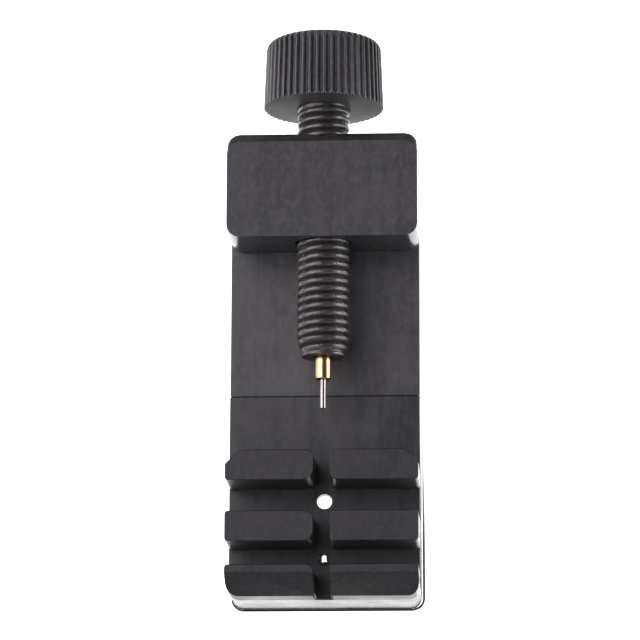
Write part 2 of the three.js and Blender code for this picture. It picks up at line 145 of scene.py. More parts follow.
# Rounded edges and crevices: how well the rounded normal matches the true one beside an edge
# and on it, how open a crevice is at its rim and in its depth, and reaches in millimetres
EDGE_MATCH = (0.995, 0.93)
EDGE_SAMPLES = 6
CREVICE_OPEN = (0.94, 0.5)
CREVICE_SAMPLES = 8
# How far the flutes' painted shade and the thread's darker roots reach into their grooves
FLUTE_CREVICE = 0.7
THREAD_CREVICE = 0.5

# Greased plastic of the screw: a thin film is rough and dark, a thick one smooth and brown
THIN_FILM = (0.018, 0.0175, 0.017, 1)
THICK_FILM = (0.040, 0.036, 0.030, 1)
THREAD_ROOT = (0.014, 0.012, 0.010, 1)
FILM_COLOUR_BAND = (0.35, 0.65)
FILM_GLOSS_BAND = (0.3, 0.7)
FILM_ROUGHNESS = (0.30, 0.15)
BARE_ROUGHNESS = 0.4
FILM_SHEEN = 0.65
BARE_SHEEN = 0.35
FILM_IOR = 1.48
FILM_HEIGHT = 0.2
FILM_GRAIN_HEIGHT = 0.02

# Bare metals
TARNISH_COLOUR_BAND = (0.35, 0.7)
TARNISH_GLOSS_BAND = (0.3, 0.7)
TARNISH_ROUGHNESS = (-0.05, 0.08)
TOOL_MARK_HEIGHT = 0.008

# Mould gate's mark on the holder's end, and the moulding flash left in its smaller drop hole,
# as the outline of the opening in it, from the hole's centre
GATE_HEIGHT = 5.4
GATE_HALF = (0.5, 0.2)
GATE_FADE = 0.1
FLASH_FROM_END = 6.05
FLASH_RADIUS = 0.95
FLASH_MIDDLE = Vector((0, 0.1, 0))
FLASH_HEIGHTS = (9.2, 9.28)
FLASH_OPENING = [
    (-0.36, 0.25),
    (-0.36, -0.1),
    (-0.38, -0.42),
    (-0.05, -0.35),
    (0.15, -0.32),
    (0.38, -0.38),
    (0.32, -0.25),
    (0.27, 0.0),
    (0.28, 0.3),
    (0.22, 0.55),
    (0.05, 0.68),
    (-0.15, 0.66),
    (-0.33, 0.5),
]

# Camera, fitted to the edges in the photograph: places and clips in metres, roll in radians,
# lens and sensor in millimetres
CAMERA_PLACE = Vector((0.028567, -0.118617, 0.527539))
CAMERA_TARGET = Vector((-0.000759, 0.000375, 0.0093))
CAMERA_ROLL = 0.003
CAMERA_LENS = 199.84
CAMERA_SENSOR = 36
CAMERA_CLIP = (0.01, 50)

# Table: its half width and drop in metres, the greys of its mottle, and its glow, with how many
# millimetres from the tool's middle it begins and ends to fade
FLOOR_HALF = 6.0
FLOOR_DROP = 0.02 * MM
FLOOR_GREYS = (0.55, 0.539)
FLOOR_ROUGHNESS = 0.6
FLOOR_GLOW = 1.7
FLOOR_FAR_GLOW = 0.15
FLOOR_GLOW_REACH = (51, 66)
FLOOR_RIGHT_SHARE = 0.3

# Painted contact shadow, a dark line on the table where the tool meets it, in millimetres: from
# END_SHARES[0] to END_SHARES[1] of the way to the holder's end it grows wider and darker and, on the right,
# drifts away
CONTACT_SHADOW_COLOUR = (0.02, 0.02, 0.025, 1)
CONTACT_CORNER = 1.6
CONTACT_END_SHARES = (0.1, 0.9)
CONTACT_SIDE_FADE = 1
CONTACT_HALF_WIDTHS = (0.05, 0.15)
CONTACT_EDGE = (0.06, -0.02)
CONTACT_DRIFT = 0.12
CONTACT_FAINT = 0.35

# Room: its light by the degrees that a direction leans to the right of straight up, how high its
# pale horizon reaches, and its strength at the sides and at the ends of the tool
LIGHT_COLOUR = (1.0, 0.94, 1.03)
ROOM_BY_DEGREE = [
    (-90, 1.5),
    (-60, 1.4),
    (-43, 1.5),
    (-25, 1.15),
    (-10, 0.66),
    (0, 0.19),
    (10, 0.07),
    (42, 0.07),
    (56, 0.8),
    (70, 1.2),
    (90, 1.2),
]
ROOM_HORIZON = 0.03
ROOM_END_BAND = (0.1, 0.8)
ROOM_SIDE_GAIN = 1.4
ROOM_END_GAIN = 0.32

# Soft boxes: place, size across and up in metres, and power in watts
SOFT_BOX_AIM = Vector((0, 0, 0.01))
SOFT_BOXES = {
    "key": (Vector((-0.088, 0.025, 0.106)), (0.12, 0.15), 0.138),
    "front_fill": (Vector((0.10, -0.30, 0.16)), (0.25, 0.18), 0.18),
    "low_right": (Vector((0.35, 0.0, 0.055)), (0.26, 0.09), 0.40),
    "right_strip": (Vector((0.30, 0.0, 0.13)), (0.30, 0.04), 0.30),
}

# Meshes: points closer than WELD millimetres are joined. Faces that differ by less than FLAT
# degrees are made one, and edges are shaded smooth up to SMOOTH degrees
WELD = 0.0008
MOULDED_FLAT = 0.4
MOULDED_SMOOTH = 35
TURNED_SMOOTH = 40
THREAD_SMOOTH = 50
LARGE_FACES_LEAD = 100

# Lead screw: its thread's profile is (share of the pitch from root to root, share of the depth)
THREAD_PITCH = 1.25
THREAD_DEPTH = 0.52
THREAD_SHARES = [
    (0.0, 1.0),
    (0.06, 0.92),
    (0.12, 0.7),
    (0.19, 0.38),
    (0.26, 0.14),
    (0.34, 0.03),
    (0.5, 0.0),
    (0.66, 0.03),
    (0.74, 0.14),
    (0.81, 0.38),
    (0.88, 0.7),
    (0.94, 0.92),
]
THREAD_SEGMENTS = 64
THREAD_RUN_OUT = 1.5
SCREW_TAPER = 2.4
SCREW_END_RADIUS = 3.15
SCREW_LEAD_IN = 1.2
SCREW_PRESS_GAP = 0.3
COLLAR_BORE = 1.45
COLLAR_BORE_DEPTH = 4.0

# Knob: its flutes' profile is (share of a flute from ridge to ridge, share of the depth)
KNOB_FAR_SHARE = 0.956
KNOB_FLUTES = 50
KNOB_FLUTE_DEPTH = 0.44
FLUTE_SHARES = [
    (0.0, 0.0),
    (0.08, 0.03),
    (0.14, 0.12),
    (0.19, 0.3),
    (0.26, 0.6),
    (0.37, 0.9),
    (0.5, 1.0),
    (0.63, 0.9),
    (0.74, 0.6),
    (0.81, 0.3),
    (0.86, 0.12),
    (0.92, 0.03),
]
FLUTE_RUN_OUT = 0.5
FLUTE_END_SHARE = 0.5
FLUTE_FAR_SHARE = 0.05
KNOB_RIM = 1.3
KNOB_NEAR_RIM = 0.12
KNOB_RIM_STEPS = 7
KNOB_MOUTH = 3.96
KNOB_MOUTH_DEPTH = 1.0

# Small turned pieces
TURNED_SEGMENTS = 64
COLLAR_CHAMFER = 0.12
COLLAR_INNER = 0.62
PIN_ROUND = 0.1
PIN_ROUND_STEPS = 4


class Graph:
    """The nodes of one material or world, added and linked by short calls."""

    def __init__(self, owner, shader):
        owner.use_nodes = True
        self.owner = owner
        self.tree = owner.node_tree
        self.shader = self.tree.nodes[shader]
        self.rounded = None

    def add(self, kind, inputs=None, **settings):
        """A node of that kind; inputs maps a socket to a number or to another node's socket."""
        node = self.tree.nodes.new(kind)
        for key, value in settings.items():
            setattr(node, key, value)
        for key, value in (inputs or {}).items():
            self.join(node.inputs[key], value)
        return node

    def join(self, socket, value):
        """Links a socket to another node's socket, or gives it a plain value."""
        if isinstance(value, bpy.types.NodeSocket):
            self.tree.links.new(value, socket)
        else:
            socket.default_value = value

    def shade(self, **inputs):
        """Sets inputs of the shader, named with underscores for spaces."""
        for key, value in inputs.items():
            self.join(self.shader.inputs[key.replace("_", " ")], value)

    def millimetres(self, scale=(1, 1, 1), shift=(0, 0, 0), turn=0.0):
        """The piece's own coordinates in millimetres, turned round Z, shifted, then scaled."""
        place = self.add("ShaderNodeTexCoord").outputs["Object"]
        inputs = {"Vector": place, "Rotation": (0, 0, turn), "Location": shift}
        moved = self.add("ShaderNodeMapping", inputs).outputs["Vector"]
        factors = tuple(factor / MM for factor in scale)
        node = self.add("ShaderNodeVectorMath", {0: moved, 1: factors}, operation="MULTIPLY")
        return node.outputs["Vector"]

    def noise(self, scale, detail, roughness=0.5, shift=(0, 0, 0), turn=0.0):
        """Noise from 0 to 1 that changes as often as scale says in a millimetre of each axis."""
        vector = self.millimetres(scale, shift, turn)
        inputs = {"Vector": vector, "Scale": 1.0, "Detail": detail, "Roughness": roughness}
        return self.add("ShaderNodeTexNoise", inputs).outputs["Fac"]

    def parts(self, vector):
        """The sockets of a vector's X, Y and Z."""
        return self.add("ShaderNodeSeparateXYZ", {0: vector}).outputs

    def band(self, value, low, high, to_low=0.0, to_high=1.0):
        """A value mapped smoothly from low..high to to_low..to_high, and clamped there."""
        inputs = {"Value": value, "From Min": low, "From Max": high, "To Min": to_low, "To Max": to_high}
        return self.add("ShaderNodeMapRange", inputs, interpolation_type="SMOOTHSTEP").outputs["Result"]

    def math(self, operation, first, second=0.0):
        """One sum on two values."""
        return self.add("ShaderNodeMath", {0: first, 1: second}, operation=operation).outputs[0]

    def product(self, first, *others):
        """Values multiplied, in their order."""
        for other in others:
            first = self.math("MULTIPLY", first, other)
        return first

    def raised(self, value, mask, amount):
        """A value with that amount added where the mask shows."""
        return self.math("ADD", value, self.product(mask, amount))

    def mix(self, share, first, second):
        """A colour between two colours."""
        node = self.add("ShaderNodeMix", data_type="RGBA")
        self.join(node.inputs["Factor"], share)
        self.join(node.inputs["A"], first)
        self.join(node.inputs["B"], second)
        return node.outputs["Result"]

    def covered(self, colour, mask, strength, cover):
        """A colour with another one over it where the mask shows."""
        return self.mix(self.product(mask, strength), colour, cover)

    def round_edges(self, radius):
        """Keeps a normal whose edges look rounded by that radius in millimetres."""
        inputs = {"Radius": radius * MM}
        self.rounded = self.add("ShaderNodeBevel", inputs, samples=EDGE_SAMPLES).outputs["Normal"]

    def crevice(self, reach):
        """Where a groove narrower than about that reach in millimetres closes in, from 0 to 1."""
        inputs = {"Distance": reach * MM}
        node = self.add("ShaderNodeAmbientOcclusion", inputs, samples=CREVICE_SAMPLES)
        return self.band(node.outputs["AO"], *CREVICE_OPEN)

    def bump(self, height, distance, normal=None):
        """A normal roughened by a height field, distance in millimetres."""
        inputs = {"Height": height, "Distance": distance * MM}
        if normal is not None:
            inputs["Normal"] = normal
        return self.add("ShaderNodeBump", inputs).outputs["Normal"]


def new_surface(name):
    """The graph of a new material."""
    return Graph(bpy.data.materials.new(name), "Principled BSDF")


def grey(level, tint=(1.0, 1.0, 1.0)):
    """A colour of that level, slightly tinted."""
    return (level * tint[0], level * tint[1], level * tint[2], 1)


def facing(graph, axis):
    """How far a face is turned to that axis, from -1 to 1."""
    return graph.parts(graph.add("ShaderNodeNewGeometry").outputs["True Normal"])[axis]


def faces_front(graph, strength=1.0):
    """Where a face is turned to the tool's front end, with that strength there."""
    return graph.band(facing(graph, "Y"), *FRONT_TURN, 0.0, strength)


def height_above(graph, level):
    """Where the piece is higher than that level in millimetres."""
    height = graph.parts(graph.millimetres())["Z"]
    return graph.band(height, level - HEIGHT_FADE, level + HEIGHT_FADE)


def dull_holder(graph):
    """The holder's slopes, its end above the plate and the tops of its fences."""
    to_front = graph.band(facing(graph, "Y"), *SLOPE_FRONT_TURN)
    up = facing(graph, "Z")
    slope = graph.product(to_front, graph.band(up, *SLOPE_UP_TURN, END_WALL_SHARE, 1.0))
    end = graph.product(slope, height_above(graph, HOLDER_PLATE))
    level_top = graph.band(up, *FENCE_TOP_TURN, 0.0, FENCE_TOP_SHARE)
    return graph.math("MAXIMUM", end, graph.product(level_top, height_above(graph, FENCE_TOP)))


def dull_head(graph):
    """The top of the head."""
    up = graph.band(facing(graph, "Z"), *HEAD_TOP_TURN, 0.0, HEAD_TOP_SHARE)
    return graph.product(up, height_above(graph, HEAD_TOP))


def dull_knob_face(graph):
    """The knob's face towards the head."""
    return faces_front(graph, KNOB_FACE_SHARE)


def back_edge_painted_shade(graph):
    """The edges of level faces that turn away to the back, darkened there as painted shade."""
    back = graph.band(graph.parts(graph.rounded)["Y"], *EDGE_BACK_TURN)
    return graph.product(back, graph.band(facing(graph, "Z"), *EDGE_UP_TURN))


def gate_mark(graph):
    """The small torn mark that the mould's gate left in the middle of the holder's end."""
    parts = graph.parts(graph.millimetres(shift=(0, 0, -GATE_HEIGHT * MM)))
    mark = faces_front(graph)
    for axis, half in zip("XZ", GATE_HALF):
        out = graph.math("ABSOLUTE", parts[axis])
        mark = graph.product(mark, graph.band(out, half + GATE_FADE, half - GATE_FADE))
    return mark


def holder_shade_and_gate(graph):
    """The fences' back edges, darkened as painted shade, and the real mark of the mould's gate."""
    return graph.math("MAXIMUM", back_edge_painted_shade(graph), gate_mark(graph))


def head_painted_shade(graph):
    """Painted shade on the front of the head, over the frame's plate, and on the bevel at its back."""
    front = faces_front(graph, HEAD_FRONT_SHARE)
    back = graph.band(facing(graph, "Y"), *BEVEL_BACK_TURN)
    up = graph.band(facing(graph, "Z"), *BEVEL_UP_TURN, 0.0, HEAD_BEVEL_SHARE)
    above = height_above(graph, HOLDER_PLATE)
    return graph.product(graph.math("MAXIMUM", front, graph.product(back, up)), above)


def flute_painted_shade(graph):
    """Painted shade in the bottoms of the flutes, where the grooves close in."""
    return graph.crevice(FLUTE_CREVICE)


def scratch_mask(graph, amount):
    """Sparse fine scratches in three directions, from 0 to 1."""
    band = [edge - SCRATCH_SPREAD * amount for edge in SCRATCH_BAND]
    scratches = 0.0
    for turn, seed in SCRATCH_DIRECTIONS:
        line = graph.noise(SCRATCH_SCALE, SCRATCH_DETAIL, shift=(seed, seed, 0), turn=turn)
        scratches = graph.math("MAXIMUM", scratches, graph.band(line, *band))
    return scratches


def edge_wear(graph):
    """Where an edge is rubbed lighter: the rounded normal leaves the true one, in patches."""
    true = graph.add("ShaderNodeNewGeometry").outputs["Normal"]
    match = graph.add("ShaderNodeVectorMath", {0: true, 1: graph.rounded}, operation="DOT_PRODUCT")
    edge = graph.band(match.outputs["Value"], *EDGE_MATCH)
    return graph.product(edge, graph.band(graph.noise(*RUBBED_PATCHES), *RUBBED_BAND))


def plastic_masks(graph, scratched, dull, painted_shade_and_gate):
    """The masks of moulded plastic, each from 0 to 1, apart from touched, which lies around 0.

    Upright faces came off polished mould walls, so they show fewer marks than level ones.
    """
    upright = graph.band(graph.math("ABSOLUTE", facing(graph, "Z")), *UPRIGHT_TURN)
    level = graph.math("SUBTRACT", 1.0, upright)
    shown = graph.band(upright, 0.0, 1.0, 1.0, UPRIGHT_MARKS)
    cloud = graph.noise(*CLOUD)
    smears = graph.product(graph.math("SUBTRACT", graph.noise(*SMEARS), NOISE_MEAN), level)
    marks = graph.math("ADD", graph.math("ADD", graph.noise(*STREAKS), cloud), smears)
    return SimpleNamespace(
        upright=upright,
        level=level,
        shown=shown,
        cloud=cloud,
        touched=graph.product(graph.math("SUBTRACT", marks, 2 * NOISE_MEAN), shown),
        scratches=scratch_mask(graph, scratched),
        dull=dull(graph),
        # painted shade, and on the holder the mark of the mould's gate
        painted_shade_and_gate=painted_shade_and_gate(graph),
    )


def plastic_colour(graph, masks, level):
    """The plastic's grey with smudges, mottle, scratches, rubbed edges, dust, and dark painted shade, which
    on the holder also draws the gate mark.
    """
    dark, pale = (grey(level * share, PLASTIC_TINT) for share in TOUCHED_GREY_SHARES)
    colour = graph.mix(graph.band(masks.touched, *TOUCHED_BAND), dark, pale)
    mottle = graph.product(graph.band(graph.noise(*MOTTLE), *MOTTLE_BAND), masks.shown)
    specks = graph.product(graph.band(graph.noise(*SPECKS), *SPECK_BAND), masks.level)
    covers = (
        (mottle, MOTTLE_COVER, grey(level * MOTTLE_GREY_SHARE, PLASTIC_TINT)),
        (masks.scratches, SCRATCH_COVER, grey(SCRATCH_GREY, PLASTIC_TINT)),
        (edge_wear(graph), RUBBED_COVER, grey(RUBBED_GREY, PLASTIC_TINT)),
        (specks, SPECK_COVER, grey(SPECK_GREY)),
        # painted shade, with the holder's gate mark
        (masks.painted_shade_and_gate, SHADE_AND_GATE_COVER, grey(SHADE_AND_GATE_GREY)),
    )
    for mask, strength, cover in covers:
        colour = graph.covered(colour, mask, strength, cover)
    return colour


def plastic_roughness(graph, masks, roughness, polish):
    """How rough the plastic is: its marks and dull places add to it, and polish takes off."""
    ends = [roughness + change for change in TOUCHED_ROUGHNESS]
    rough = graph.band(masks.touched, *TOUCHED_BAND, *ends)
    rough = graph.raised(rough, masks.scratches, SCRATCH_ROUGHNESS)
    rough = graph.raised(rough, masks.upright, -polish)
    side = graph.band(graph.math("ABSOLUTE", facing(graph, "X")), *SIDE_TURN)
    rough = graph.raised(rough, side, -polish * SIDE_POLISH_SHARE)
    return graph.raised(rough, masks.dull, DULL_ROUGHNESS)


def plastic_sheen(graph, masks):
    """The plastic's specular level, lower where it is dull and lowest under the painted shade."""
    sheen = graph.band(masks.dull, 0.0, 1.0, PLASTIC_SHEEN, DULL_SHEEN)
    return graph.product(sheen, graph.band(masks.painted_shade_and_gate, 0.0, 1.0, 1.0, SHADE_AND_GATE_SHEEN_SHARE))


def plastic_normal(graph, masks):
    """The rounded edges and the cloud's unevenness, with grain and scratches on level faces."""
    normal = graph.bump(graph.product(graph.noise(*GRAIN), masks.level), GRAIN_HEIGHT, graph.rounded)
    normal = graph.bump(masks.cloud, CLOUD_HEIGHT, normal)
    return graph.bump(graph.product(masks.scratches, masks.level), SCRATCH_HEIGHT, normal)


def moulded_plastic(name, level, roughness, scratched, edge, polish, dull, painted_shade_and_gate):
    """Black moulded plastic: smudges, mottling, fine grain, scratches and worn edges.

    Upright faces are smoother by polish, and carry no grain and no specks of dust. Edges look
    rounded by edge millimetres. Two functions make the masks of dull places and of painted shade, with the
    holder's gate mark.
    """
    graph = new_surface(name)
    graph.round_edges(edge)
    masks = plastic_masks(graph, scratched, dull, painted_shade_and_gate)
    graph.shade(
        Base_Color=plastic_colour(graph, masks, level),
        Roughness=plastic_roughness(graph, masks, roughness, polish),
        Normal=plastic_normal(graph, masks),
        IOR=PLASTIC_IOR,
        Specular_IOR_Level=plastic_sheen(graph, masks),
    )
    return graph.owner


def greased_plastic(name):
    """The screw: dark plastic under a thin brown film of grease, glossy in patches.

    Its flat front has no grease on it.
    """
    graph = new_surface(name)
    film = graph.noise(*GREASE_FILM)
    root = graph.crevice(THREAD_CREVICE)
    bare = faces_front(graph)
    colour = graph.mix(graph.band(film, *FILM_COLOUR_BAND), THIN_FILM, THICK_FILM)
    rough = graph.band(film, *FILM_GLOSS_BAND, *FILM_ROUGHNESS)
    grain = graph.bump(graph.noise(*GREASE_GRAIN), FILM_GRAIN_HEIGHT)
    graph.shade(
        Base_Color=graph.mix(root, colour, THREAD_ROOT),
        Roughness=graph.raised(rough, bare, BARE_ROUGHNESS),
        Normal=graph.bump(film, FILM_HEIGHT, grain),
        IOR=FILM_IOR,
        Specular_IOR_Level=graph.band(graph.math("MAXIMUM", bare, root), 0.0, 1.0, FILM_SHEEN, BARE_SHEEN),
    )
    return graph.owner


def bare_metal(name, pale, dark, roughness, tool_marks):
    """Bare metal with fine tool marks, as their noise says, and darker where it is tarnished."""
    graph = new_surface(name)
    tarnish = graph.noise(*TARNISH)
    ends = [roughness + change for change in TARNISH_ROUGHNESS]
    graph.shade(
        Base_Color=graph.mix(graph.band(tarnish, *TARNISH_COLOUR_BAND), pale, dark),
        Roughness=graph.band(tarnish, *TARNISH_GLOSS_BAND, *ends),
        Normal=graph.bump(graph.noise(*tool_marks), TOOL_MARK_HEIGHT),
        Metallic=1.0,
    )
    return graph.owner


def outside_outline(graph, across, along):
    """How many millimetres a place on the table lies outside the tool, or below 0 under it."""
    low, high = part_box("strap_holder")
    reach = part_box("frame")[1].y / MM
    middle = (low.y / MM + reach) / 2
    out_x = graph.math("SUBTRACT", graph.math("ABSOLUTE", across), high.x / MM - CONTACT_CORNER)
    from_middle = graph.math("ABSOLUTE", graph.math("SUBTRACT", along, middle))
    out_y = graph.math("SUBTRACT", from_middle, reach - middle - CONTACT_CORNER)
    squares = [graph.math("POWER", graph.math("MAXIMUM", out, 0.0), 2.0) for out in (out_x, out_y)]
    return graph.math("SUBTRACT", graph.math("SQRT", graph.math("ADD", *squares)), CONTACT_CORNER)


def painted_contact_shadow(graph, across, along):
    """The painted shadow line where the tool stands, faint beside the frame.

    On the right it drifts away from the holder towards its end, clear of the wall.
    """
    low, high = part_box("strap_holder")
    to_end = graph.band(along, *(low.y / MM * share for share in CONTACT_END_SHARES))
    right = graph.band(across, high.x / MM - CONTACT_SIDE_FADE, high.x / MM)
    half = graph.band(to_end, 0.0, 1.0, *CONTACT_HALF_WIDTHS)
    middle = graph.math("ADD", graph.product(to_end, right, CONTACT_DRIFT), half)
    away = graph.math("SUBTRACT", outside_outline(graph, across, along), middle)
    line = graph.band(graph.math("SUBTRACT", graph.math("ABSOLUTE", away), half), *CONTACT_EDGE)
    return graph.product(line, graph.band(to_end, 0.0, 1.0, CONTACT_FAINT, 1.0))


def table_glow(graph, across, along):
    """The table's glow, which fades away from the tool and reaches furthest on the right."""
    right = graph.product(across, FLOOR_RIGHT_SHARE)
    sideways = graph.math("MAXIMUM", right, graph.product(across, -1.0))
    away = graph.math("MAXIMUM", sideways, graph.math("ABSOLUTE", along))
    return graph.band(away, *FLOOR_GLOW_REACH, FLOOR_GLOW, FLOOR_FAR_GLOW)


def floor_material():
    """A light table that glows round the tool, with a shadow painted dark where the tool touches."""
    graph = new_surface("table")
    parts = graph.parts(graph.millimetres())
    line = painted_contact_shadow(graph, parts["X"], parts["Y"])
    glow = table_glow(graph, parts["X"], parts["Y"])
    colour = graph.mix(graph.noise(*TABLE_MOTTLE), *(grey(level) for level in FLOOR_GREYS))
    graph.shade(
        Base_Color=graph.mix(line, colour, CONTACT_SHADOW_COLOUR),
        Roughness=FLOOR_ROUGHNESS,
        Emission_Color=(1, 1, 1, 1),
        Emission_Strength=graph.product(glow, graph.math("SUBTRACT", 1.0, line)),
    )
    return graph.owner


def link_object(name, data):
    """An object with that mesh, light or camera, in the scene."""
    obj = bpy.data.objects.new(name, data)
    bpy.context.scene.collection.objects.link(obj)
    return obj


def add_object(name, points, faces, material):
    """A mesh object from points in metres and faces by point number, with doubles joined."""
    mesh = bpy.data.meshes.new(name)
    mesh.from_pydata([tuple(point) for point in points], [], faces)
    tidy_mesh(mesh)
    mesh.materials.append(material)
    return link_object(name, mesh)


def tidy_mesh(mesh, flat_angle=None):
    """Joins doubled points, drops empty faces and turns all faces outwards."""
    shape = bmesh.new()
    shape.from_mesh(mesh)
    bmesh.ops.remove_doubles(shape, verts=shape.verts, dist=WELD * MM)
    bmesh.ops.dissolve_degenerate(shape, edges=shape.edges, dist=WELD * MM)
    if flat_angle is not None:
        limit = math.radians(flat_angle)
        bmesh.ops.dissolve_limit(shape, angle_limit=limit, verts=shape.verts, edges=shape.edges)
    bmesh.ops.recalc_face_normals(shape, faces=shape.faces)
    shape.to_mesh(mesh)
    shape.free()


def smooth(obj, angle):
    """Smooth shading up to that angle between faces, led by the larger faces."""
    obj.data.shade_smooth()
    obj.data.set_sharp_from_angle(angle=math.radians(angle))
    weighted = obj.modifiers.new("flat faces lead", "WEIGHTED_NORMAL")
    weighted.keep_sharp = True
    weighted.weight = LARGE_FACES_LEAD


def place(obj, body, slot, *replaced):
    """Rides the piece on its body and hides the CAD nodes it stands for."""
    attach(obj, body)
    if replaced:
        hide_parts(*replaced)


def ring_faces(first, second):
    """Four-sided faces between two rings, given as equal lists of point numbers."""
    count = len(first)
    after = [(index + 1) % count for index in range(count)]
    return [(first[i], first[j], second[j], second[i]) for i, j in enumerate(after)]


def tube_faces(rings):
    """Four-sided faces from each ring to the next."""
    faces = []
    for first, second in zip(rings, rings[1:]):
        faces += ring_faces(first, second)
    return faces


def about_y(centre, radius, angle, y):
    """A point at that radius, angle and Y round the axis through centre, all but centre in mm."""
    return centre + Vector((radius * math.cos(angle), y, radius * math.sin(angle))) * MM


def add_ring(points, centre, radius, y, count):
    """Adds a ring round the Y axis through centre to the points, and gives its point numbers."""
    first = len(points)
    points += [about_y(centre, radius, 2 * math.pi * step / count, y) for step in range(count)]
    return range(first, len(points))


def quarter_turn(steps):
    """The angles of a quarter turn cut into that many steps."""
    return [math.pi / 2 * step / steps for step in range(steps + 1)]


def turned(name, profile, centre, material):
    """A turned piece from (radius, y) points in millimetres, round the Y axis through centre."""
    points = []
    rings = [add_ring(points, centre, radius, y, TURNED_SEGMENTS) for radius, y in profile]
    obj = add_object(name, points, tube_faces(rings), material)
    smooth(obj, TURNED_SMOOTH)
    return obj


def screw_axis():
    """A point on the screw axis at Y = 0, and the crest radius of the thread in millimetres."""
    low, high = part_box("lead_screw")
    return Vector((0, 0, (low.z + high.z) / 2)), (high.x - low.x) / 2 / MM


def thread_depth(turns):
    """How deep the thread is cut that many turns from a root, as a share of the full depth."""
    share = turns % 1.0
    table = THREAD_SHARES + [(1.0, THREAD_SHARES[0][1])]
    after = next(index for index in range(1, len(table)) if share <= table[index][0])
    start, from_depth = table[after - 1]
    end, to_depth = table[after]
    return from_depth + (to_depth - from_depth) * (share - start) / (end - start)


def thread_radius(y, around, start, crest, origin):
    """The screw's radius at that Y and share of a turn, with its tapered front and its thread.

    The thread fades in over the lead-in at the front and out before origin, the knob's face.
    """
    depth = THREAD_DEPTH * min(max((origin - y) / THREAD_RUN_OUT, 0), (y - start) / SCREW_LEAD_IN, 1)
    cut = thread_depth((y - origin) / THREAD_PITCH + around) * depth
    taper = min((y - start) / SCREW_TAPER, 1)
    return SCREW_END_RADIUS + (crest - SCREW_END_RADIUS) * taper - cut


def thread_columns(start, end, crest, origin):
    """For each step round the screw, (radius, y) points along its right-hand thread."""
    first = math.floor((start - origin) / THREAD_PITCH) - 1
    last = math.ceil((end - origin) / THREAD_PITCH) + 2
    rows = [turn + share for turn in range(first, last) for share, _ in THREAD_SHARES]
    columns = []
    for step in range(THREAD_SEGMENTS):
        around = step / THREAD_SEGMENTS
        places = [min(max(origin + (row - around) * THREAD_PITCH, start), end) for row in rows]
        columns.append([(thread_radius(y, around, start, crest, origin), y) for y in places])
    return columns


def thread_faces(columns):
    """Faces between each column of point numbers and the next; the last meets the first a turn on."""
    faces = []
    for step, here in enumerate(columns):
        after = columns[(step + 1) % THREAD_SEGMENTS]
        shift = len(THREAD_SHARES) if step + 1 == THREAD_SEGMENTS else 0
        for row in range(shift, len(here) - 1):
            faces.append((here[row], here[row + 1], after[row + 1 - shift], after[row - shift]))
    return faces


def make_lead_screw(material):
    """The screw with its helical thread, tapered front and the bore that holds the collar."""
    centre, crest = screw_axis()
    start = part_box("lead_screw")[0].y / MM
    knob_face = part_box("knob")[0].y / MM
    end = knob_face + KNOB_MOUTH_DEPTH - SCREW_PRESS_GAP
    points = []
    columns = []
    for step, column in enumerate(thread_columns(start, end, crest, knob_face)):
        angle = 2 * math.pi * step / THREAD_SEGMENTS
        columns.append(range(len(points), len(points) + len(column)))
        points += [about_y(centre, radius, angle, y) for radius, y in column]
    front = [column[0] for column in columns]
    mouth = add_ring(points, centre, COLLAR_BORE, start, THREAD_SEGMENTS)
    inside = add_ring(points, centre, COLLAR_BORE, start + COLLAR_BORE_DEPTH, THREAD_SEGMENTS)
    faces = thread_faces(columns) + tube_faces([front, mouth, inside])
    faces += [tuple(inside), tuple(column[-1] for column in columns)]
    obj = add_object("lead_screw_threaded", points, faces, material)
    smooth(obj, THREAD_SMOOTH)
    place(obj, "spindle", "screw_plastic", "lead_screw")


def knob_outline(radius, depth):
    """Points of the outline as (x, z) in millimetres, with flutes of that depth."""
    outline = []
    for flute in range(KNOB_FLUTES):
        for share, cut in FLUTE_SHARES:
            angle = 2 * math.pi * (flute + share) / KNOB_FLUTES
            reach = radius - cut * depth
            outline.append((reach * math.cos(angle), reach * math.sin(angle)))
    return outline


def knob_layers(length):
    """(distance from the near face, inset) of each outline along the knob."""
    arc = [(1 - math.cos(angle), 1 - math.sin(angle)) for angle in quarter_turn(KNOB_RIM_STEPS)]
    near = [(KNOB_NEAR_RIM * rise, KNOB_NEAR_RIM * fall) for rise, fall in arc]
    far = [(length - KNOB_RIM * fall, KNOB_RIM * rise) for rise, fall in arc]
    return near + [(FLUTE_RUN_OUT, 0.0)] + far


def flute_depth(distance, length):
    """How deep the flutes are at that distance from the near face: they run out at both rims."""
    near_share = min(distance / FLUTE_RUN_OUT, 1)
    far_share = min((length - distance) / KNOB_RIM, 1)
    depth = KNOB_FLUTE_DEPTH * (FLUTE_END_SHARE + (1 - FLUTE_END_SHARE) * near_share)
    return depth * (FLUTE_FAR_SHARE + (1 - FLUTE_FAR_SHARE) * far_share)


def add_outline(points, centre, outline, y):
    """Adds an outline of (x, z) points round centre at that Y, and gives its point numbers."""
    first = len(points)
    points += [centre + Vector((x, y, z)) * MM for x, z in outline]
    return range(first, len(points))


def make_knob(material):
    """The fluted knob with rounded rims and the counterbore that the screw enters."""
    low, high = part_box("knob")
    centre = Vector((0, 0, (low.z + high.z) / 2))
    near = low.y / MM
    length = (high.y - low.y) / MM
    radius = (high.x - low.x) / 2 / MM
    points = []
    rings = []
    for distance, inset in knob_layers(length):
        taper = 1 + (KNOB_FAR_SHARE - 1) * distance / length
        outline = knob_outline(radius * taper - inset, flute_depth(distance, length))
        rings.append(add_outline(points, centre, outline, near + distance))
    round_mouth = knob_outline(KNOB_MOUTH, 0)
    mouth = add_outline(points, centre, round_mouth, near)
    inside = add_outline(points, centre, round_mouth, near + KNOB_MOUTH_DEPTH)
    faces = tube_faces(rings) + ring_faces(mouth, rings[0]) + ring_faces(inside, mouth)
    faces += [tuple(inside), tuple(rings[-1])]
    obj = add_object("knob_fluted", points, faces, material)
    smooth(obj, TURNED_SMOOTH)
    place(obj, "spindle", "knob_plastic", "knob")


